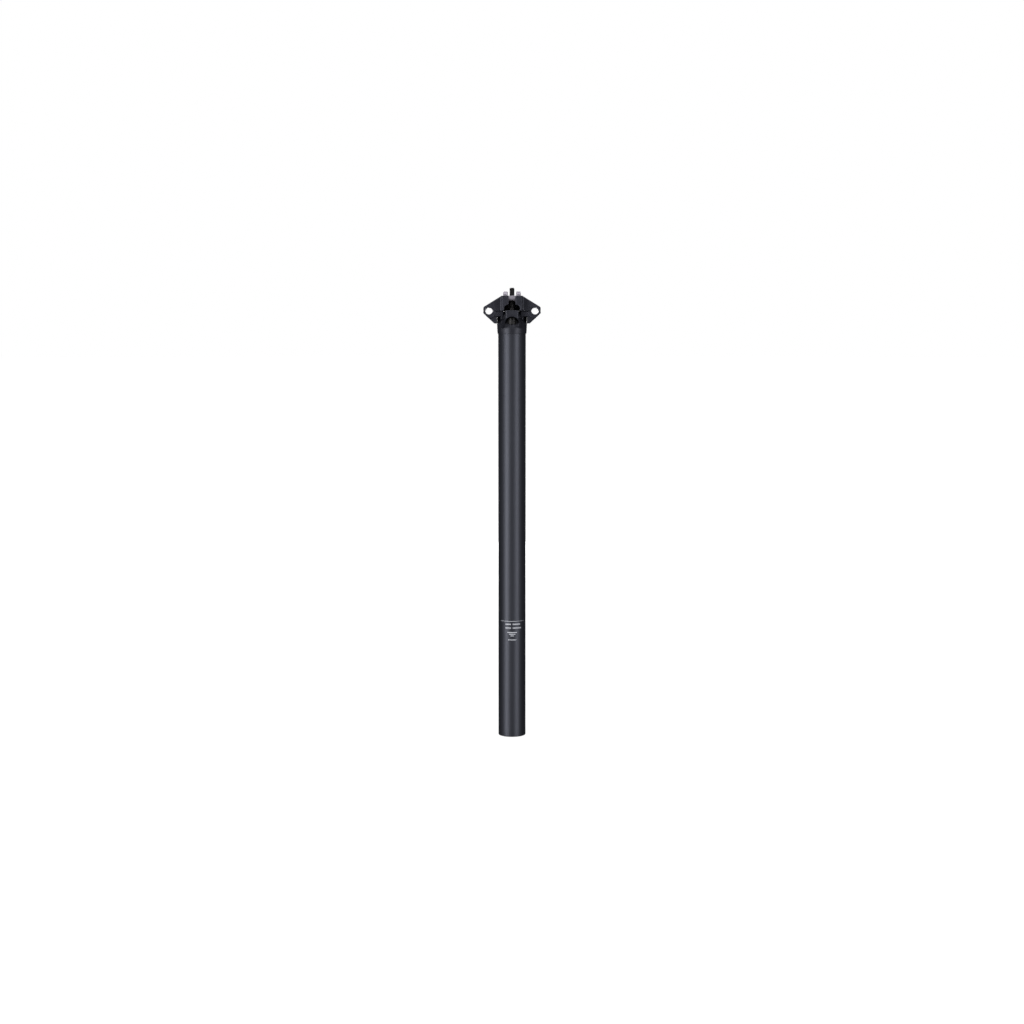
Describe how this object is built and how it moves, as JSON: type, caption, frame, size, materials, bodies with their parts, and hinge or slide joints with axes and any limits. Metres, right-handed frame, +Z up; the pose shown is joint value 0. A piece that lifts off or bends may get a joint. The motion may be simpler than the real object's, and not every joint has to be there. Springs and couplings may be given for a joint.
{
  "type": "suspension seatpost",
  "caption": "Straight black bicycle seatpost with a forged two-bolt saddle clamp and a short spring travel hidden under the head's skirt.",
  "frame": {"origin": "centre of the outer tube's lower end, where the post goes into the frame's seat tube", "axes": "+Z up the post, -Y the front of the head (its pictured side), +X to the right seen from the front"},
  "size_m": [0.056, 0.051, 0.4452],
  "materials": {
    "anodised_tube": "satin black anodised aluminium tube",
    "anodised_inner": "black anodised turned aluminium",
    "plated_steel": "zinc plated steel",
    "nylon": "natural glass-filled nylon",
    "elastomer": "cellular polyurethane",
    "spring_steel": "oiled spring steel",
    "seal_rubber": "nitrile rubber",
    "key_brass": "brass",
    "stanchion_steel": "ground and polished steel tube",
    "forged_head": "blasted and black anodised aluminium forging",
    "forged_clamp": "blasted and black anodised aluminium forging",
    "black_steel": "black oxide alloy steel",
    "plated_nut": "nickel plated steel"
  },
  "bodies": {
    "tube": {"outer_tube": "anodised_tube", "bottom_cap": "anodised_inner", "pressure_plate": "plated_steel", "preload_tube": "anodised_inner", "lower_spring_seat": "nylon", "elastomer_bumper": "elastomer", "coil_spring": "spring_steel", "stop_ring": "spring_steel", "upper_bushing": "nylon", "wiper_seal": "seal_rubber", "left_key": "key_brass", "right_key": "key_brass"},
    "preload_screw": {"preload_screw": "plated_steel"},
    "head": {"post_head": "forged_head", "stanchion": "stanchion_steel", "stanchion_foot": "nylon", "lower_bushing": "nylon", "topout_ring": "seal_rubber", "front_head_washer": "black_steel", "rear_head_washer": "black_steel"},
    "cradle": {"lower_cradle": "forged_clamp"},
    "clamp": {"upper_clamp": "forged_clamp"},
    "front_nut": {"front_barrel_nut": "plated_nut"},
    "rear_nut": {"rear_barrel_nut": "plated_nut"},
    "front_bolt": {"front_bolt": "black_steel"},
    "rear_bolt": {"rear_bolt": "black_steel"}
  },
  "joints": [
    {"name": "suspension_travel", "type": "slide", "parent": "tube", "child": "head", "axis": [0, 0, 1], "range_m": [-0.01, 0], "stiffness_N_per_m": 60000, "springref_m": 0.0015, "deforming": ["coil_spring"]},
    {"name": "clamp_tilt", "type": "hinge", "parent": "head", "child": "cradle", "pos_m": [0, 0, 0.4366], "axis": [1, 0, 0], "range_deg": [-10, 10]},
    {"name": "clamp_lift", "type": "slide", "parent": "cradle", "child": "clamp", "axis": [0, 0, 1], "range_m": [0, 0.0025]},
    {"name": "front_nut_turn", "type": "hinge", "parent": "clamp", "child": "front_nut", "pos_m": [0, -0.0193, 0.4366], "axis": [1, 0, 0], "range_deg": [-10, 10]},
    {"name": "rear_nut_turn", "type": "hinge", "parent": "clamp", "child": "rear_nut", "pos_m": [0, 0.0193, 0.4366], "axis": [1, 0, 0], "range_deg": [-10, 10]},
    {"name": "front_bolt_turn", "type": "hinge", "parent": "head", "child": "front_bolt", "pos_m": [0, -0.0193, 0.43], "axis": [0, 0, 1], "continuous": true},
    {"name": "rear_bolt_turn", "type": "hinge", "parent": "head", "child": "rear_bolt", "pos_m": [0, 0.0193, 0.43], "axis": [0, 0, 1], "continuous": true},
    {"name": "preload_screw_turn", "type": "hinge", "parent": "tube", "child": "preload_screw", "pos_m": [0, 0, 0.01], "axis": [0, 0, 1], "range_deg": [-360, 720]}
  ],
  "couplings": [
    {"joint": "front_nut_turn", "follows": "clamp_tilt", "ratio": -1},
    {"joint": "rear_nut_turn", "follows": "clamp_tilt", "ratio": -1}
  ]
}
